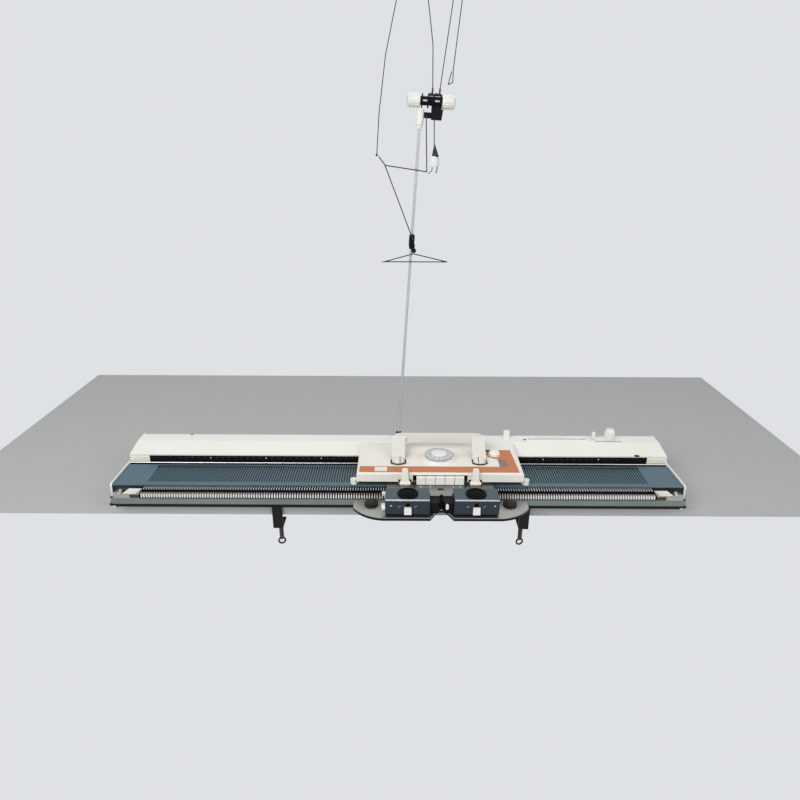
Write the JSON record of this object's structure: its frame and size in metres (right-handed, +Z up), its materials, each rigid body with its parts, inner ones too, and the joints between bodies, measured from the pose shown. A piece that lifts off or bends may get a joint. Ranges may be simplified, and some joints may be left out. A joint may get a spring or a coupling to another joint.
{
  "type": "domestic knitting machine",
  "caption": "Flat-bed domestic knitting machine with a cam carriage and sinker arm, punch-card feed, table clamps and a yarn tension mast.",
  "frame": {"origin": "centre of the flat underside of the base pan, on the table top", "axes": "+X along the needle bed to the right, +Y to the back of the machine, +Z up"},
  "size_m": [1.022, 0.247, 0.9748],
  "materials": {
    "black_steel": "satin black enamel",
    "rail_enamel": "grey-green enamel",
    "bed_enamel": "blue-grey enamel",
    "bright_steel": "nickel plated steel",
    "chrome": "chrome plate",
    "plate_steel": "zinc plated sheet",
    "cream_plastic": "cream moulding",
    "white_plastic": "white moulding",
    "black_plastic": "black moulding",
    "grey_plastic": "grey moulding",
    "arm_enamel": "blue-grey arm cover",
    "orange_label": "printed orange sheet",
    "belt_rubber": "moulded belt",
    "sponge": "foam strip",
    "bristle": "nylon bristle",
    "spring_wire": "spring wire"
  },
  "bodies": {
    "bed": {"base_pan": "black_steel", "front_rail": "rail_enamel", "sinker_comb": "bright_steel", "needle_bed": "bed_enamel", "needles": "bright_steel", "needle_retainer": "bed_enamel", "retainer_sponge": "sponge", "rear_rail": "bright_steel", "scale_strip": "black_plastic", "rear_cover": "cream_plastic", "end_cap_left": "cream_plastic", "end_cap_right": "cream_plastic", "corner_brackets": "chrome", "timing_belt": "belt_rubber", "clamp_brackets": "plate_steel", "mast_socket": "black_plastic", "mast_rod": "chrome", "mast_joint": "black_plastic", "lower_guide": "chrome", "guide_arm": "spring_wire", "mast_top": "white_plastic", "tension_frame": "black_plastic"},
    "carriage": {"carriage_shell": "cream_plastic", "label_strip": "orange_label", "cam_plate": "plate_steel", "carriage_glides": "white_plastic", "arm_bracket": "plate_steel", "sinker_plate": "chrome", "arm_cover_left": "arm_enamel", "arm_cover_right": "arm_enamel", "yarn_feeder": "black_plastic", "arm_pegs": "white_plastic"},
    "belt_pulley_left_body": {"belt_pulley_left": "white_plastic"},
    "belt_pulley_right_body": {"belt_pulley_right": "white_plastic"},
    "card_knob_body": {"card_knob": "white_plastic"},
    "card_drum_body": {"card_drum": "grey_plastic"},
    "card_toggle_body": {"card_toggle": "white_plastic"},
    "clamp_screw_left_body": {"clamp_screw_left": "chrome"},
    "clamp_screw_right_body": {"clamp_screw_right": "chrome"},
    "tension_knob_left_body": {"tension_knob_left": "white_plastic"},
    "tension_knob_right_body": {"tension_knob_right": "white_plastic"},
    "takeup_wire_left_body": {"takeup_wire_left": "spring_wire"},
    "takeup_wire_right_body": {"takeup_wire_right": "spring_wire"},
    "stitch_dial_body": {"stitch_dial": "grey_plastic"},
    "handle_body": {"handle": "white_plastic"},
    "change_knob_body": {"change_knob": "white_plastic"},
    "key_1_body": {"key_1": "white_plastic"},
    "key_2_body": {"key_2": "white_plastic"},
    "key_3_body": {"key_3": "white_plastic"},
    "key_4_body": {"key_4": "white_plastic"},
    "key_5_body": {"key_5": "white_plastic"},
    "lever_left_body": {"lever_left": "white_plastic"},
    "lever_right_body": {"lever_right": "white_plastic"},
    "thumb_screw_left_body": {"thumb_screw_left": "black_plastic"},
    "thumb_screw_right_body": {"thumb_screw_right": "black_plastic"},
    "arm_slide_left_body": {"arm_slide_left": "white_plastic"},
    "arm_slide_right_body": {"arm_slide_right": "white_plastic"},
    "feeder_gate_body": {"feeder_gate": "white_plastic"},
    "brush_left_body": {"brush_left": "bristle"},
    "brush_right_body": {"brush_right": "bristle"}
  },
  "joints": [
    {"name": "carriage_slide", "type": "slide", "parent": "bed", "child": "carriage", "axis": [1, 0, 0], "range_m": [-0.4148, 0.2652]},
    {"name": "belt_left_turn", "type": "hinge", "parent": "bed", "child": "belt_pulley_left_body", "pos_m": [-0.452, 0.026, 0.035], "axis": [0, 0, 1], "continuous": true},
    {"name": "belt_right_turn", "type": "hinge", "parent": "bed", "child": "belt_pulley_right_body", "pos_m": [0.452, 0.026, 0.035], "axis": [0, 0, 1], "continuous": true},
    {"name": "card_knob_turn", "type": "hinge", "parent": "bed", "child": "card_knob_body", "pos_m": [0.418, 0.0715, 0.078], "axis": [0, 0, 1], "continuous": true},
    {"name": "card_drum_turn", "type": "hinge", "parent": "bed", "child": "card_drum_body", "pos_m": [0.313, 0.0715, 0.04], "axis": [1, 0, 0], "continuous": true},
    {"name": "card_toggle_tilt", "type": "hinge", "parent": "bed", "child": "card_toggle_body", "pos_m": [0.386, 0.0715, 0.062], "axis": [1, 0, 0], "range_deg": [-20, 20]},
    {"name": "clamp_left_screw", "type": "slide", "parent": "bed", "child": "clamp_screw_left_body", "axis": [0, 0, 1], "range_m": [-0.01, 0.012]},
    {"name": "clamp_right_screw", "type": "slide", "parent": "bed", "child": "clamp_screw_right_body", "axis": [0, 0, 1], "range_m": [-0.01, 0.012]},
    {"name": "tension_left_turn", "type": "hinge", "parent": "bed", "child": "tension_knob_left_body", "pos_m": [0.05236, 0.075, 0.67446], "axis": [0.9982, 0, -0.0593], "range_deg": [-150, 150]},
    {"name": "tension_right_turn", "type": "hinge", "parent": "bed", "child": "tension_knob_right_body", "pos_m": [0.05236, 0.075, 0.67446], "axis": [0.9982, 0, -0.0593], "range_deg": [-150, 150]},
    {"name": "takeup_left_swing", "type": "hinge", "parent": "bed", "child": "takeup_wire_left_body", "pos_m": [0.05245, 0.075, 0.68447], "axis": [0.9982, 0, -0.0593], "range_deg": [0, 30], "stiffness_Nm_per_rad": 0.15},
    {"name": "takeup_right_swing", "type": "hinge", "parent": "bed", "child": "takeup_wire_right_body", "pos_m": [0.06294, 0.075, 0.68385], "axis": [0.9982, 0, -0.0593], "range_deg": [0, 30], "stiffness_Nm_per_rad": 0.15},
    {"name": "stitch_dial_turn", "type": "hinge", "parent": "carriage", "child": "stitch_dial_body", "pos_m": [0.0748, -0.028, 0.08], "axis": [0, 0, 1], "range_deg": [-150, 150]},
    {"name": "handle_fold", "type": "hinge", "parent": "carriage", "child": "handle_body", "pos_m": [0.0748, -0.036, 0.068], "axis": [1, 0, 0], "range_deg": [0, 80]},
    {"name": "change_knob_turn", "type": "hinge", "parent": "carriage", "child": "change_knob_body", "pos_m": [0.1788, -0.012, 0.08], "axis": [0, 0, 1], "range_deg": [-90, 90]},
    {"name": "key_1_press", "type": "slide", "parent": "carriage", "child": "key_1_body", "axis": [0, 1, 0], "range_m": [0, 0.0035], "stiffness_N_per_m": 200},
    {"name": "key_2_press", "type": "slide", "parent": "carriage", "child": "key_2_body", "axis": [0, 1, 0], "range_m": [0, 0.0035], "stiffness_N_per_m": 200},
    {"name": "key_3_press", "type": "slide", "parent": "carriage", "child": "key_3_body", "axis": [0, 1, 0], "range_m": [0, 0.0035], "stiffness_N_per_m": 200},
    {"name": "key_4_press", "type": "slide", "parent": "carriage", "child": "key_4_body", "axis": [0, 1, 0], "range_m": [0, 0.0035], "stiffness_N_per_m": 200},
    {"name": "key_5_press", "type": "slide", "parent": "carriage", "child": "key_5_body", "axis": [0, 1, 0], "range_m": [0, 0.0035], "stiffness_N_per_m": 200},
    {"name": "lever_left_tilt", "type": "hinge", "parent": "carriage", "child": "lever_left_body", "pos_m": [0.0128, -0.088, 0.0556], "axis": [1, 0, 0], "range_deg": [0, 14]},
    {"name": "thumb_left_turn", "type": "hinge", "parent": "carriage", "child": "thumb_screw_left_body", "pos_m": [0.0173, -0.137, 0.063], "axis": [0, 0, 1], "range_deg": [-360, 360]},
    {"name": "arm_slide_left_lift", "type": "slide", "parent": "carriage", "child": "arm_slide_left_body", "axis": [0, -0.0767, 0.9971], "range_m": [0, 0.01]},
    {"name": "brush_left_turn", "type": "hinge", "parent": "carriage", "child": "brush_left_body", "pos_m": [-0.0452, -0.117, 0.033], "axis": [0, 0, 1], "continuous": true},
    {"name": "lever_right_tilt", "type": "hinge", "parent": "carriage", "child": "lever_right_body", "pos_m": [0.1368, -0.088, 0.0556], "axis": [1, 0, 0], "range_deg": [0, 14]},
    {"name": "thumb_right_turn", "type": "hinge", "parent": "carriage", "child": "thumb_screw_right_body", "pos_m": [0.1323, -0.137, 0.063], "axis": [0, 0, 1], "range_deg": [-360, 360]},
    {"name": "arm_slide_right_lift", "type": "slide", "parent": "carriage", "child": "arm_slide_right_body", "axis": [0, -0.0767, 0.9971], "range_m": [0, 0.01]},
    {"name": "brush_right_turn", "type": "hinge", "parent": "carriage", "child": "brush_right_body", "pos_m": [0.1948, -0.117, 0.033], "axis": [0, 0, 1], "continuous": true},
    {"name": "feeder_gate_turn", "type": "hinge", "parent": "carriage", "child": "feeder_gate_body", "pos_m": [0.0838, -0.146, 0.044], "axis": [0, 1, 0], "range_deg": [0, 60]}
  ],
  "couplings": [
    {"joint": "belt_left_turn", "follows": "carriage_slide", "rad_per_m": 111.11},
    {"joint": "belt_right_turn", "follows": "carriage_slide", "rad_per_m": 111.11},
    {"joint": "card_drum_turn", "follows": "card_knob_turn", "ratio": -1}
  ]
}
